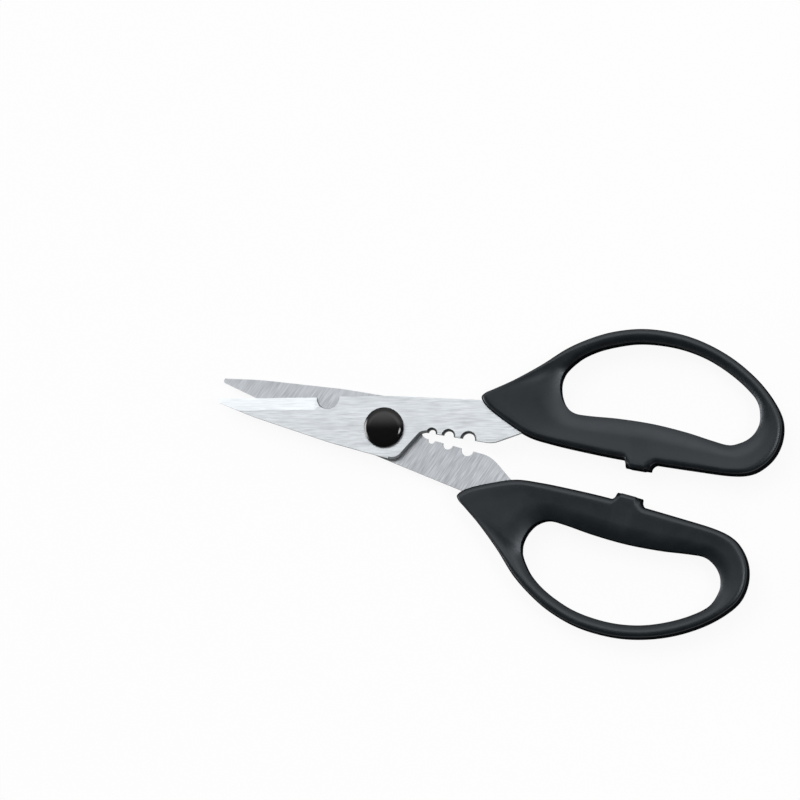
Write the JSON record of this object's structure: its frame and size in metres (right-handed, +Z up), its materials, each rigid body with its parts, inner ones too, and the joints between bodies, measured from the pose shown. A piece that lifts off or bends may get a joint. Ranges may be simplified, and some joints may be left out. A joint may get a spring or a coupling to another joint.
{
  "type": "herb scissors",
  "caption": "Herb scissors with ground steel blades, a stalk notch, paired stem-stripping notches, a capped pivot and large black loop handles.",
  "frame": {"origin": "on the pivot's axis, at the flat outer face of the rear cap, which lies on the table with the handles' undersides", "axes": "+X from the pivot towards the handles, along the line that halves the open angle; +Y towards the front blade's handle; +Z up, from the back blade to the front blade"},
  "size_m": [0.2047, 0.1126, 0.011],
  "materials": {
    "blade_steel": "fine straight grinding lines, with a bright ground bevel along the cutting edge",
    "handle_plastic": "satin charcoal black",
    "cap_plastic": "glossy black",
    "pivot_steel": "turned",
    "washer_plastic": "natural white, smooth"
  },
  "bodies": {
    "back_half": {"back_blade": "blade_steel", "back_handle": "handle_plastic", "pivot_screw": "pivot_steel", "friction_washer": "washer_plastic", "rear_cap": "cap_plastic"},
    "front_half": {"front_blade": "blade_steel", "front_handle": "handle_plastic", "pivot_nut": "pivot_steel", "spring_washer": "pivot_steel", "front_cap": "cap_plastic"}
  },
  "joints": [
    {"name": "blade_pivot", "type": "hinge", "parent": "back_half", "child": "front_half", "pos_m": [0, 0, 0.0055], "axis": [0, 0, 1], "range_deg": [-5.72, 64.28]}
  ]
}
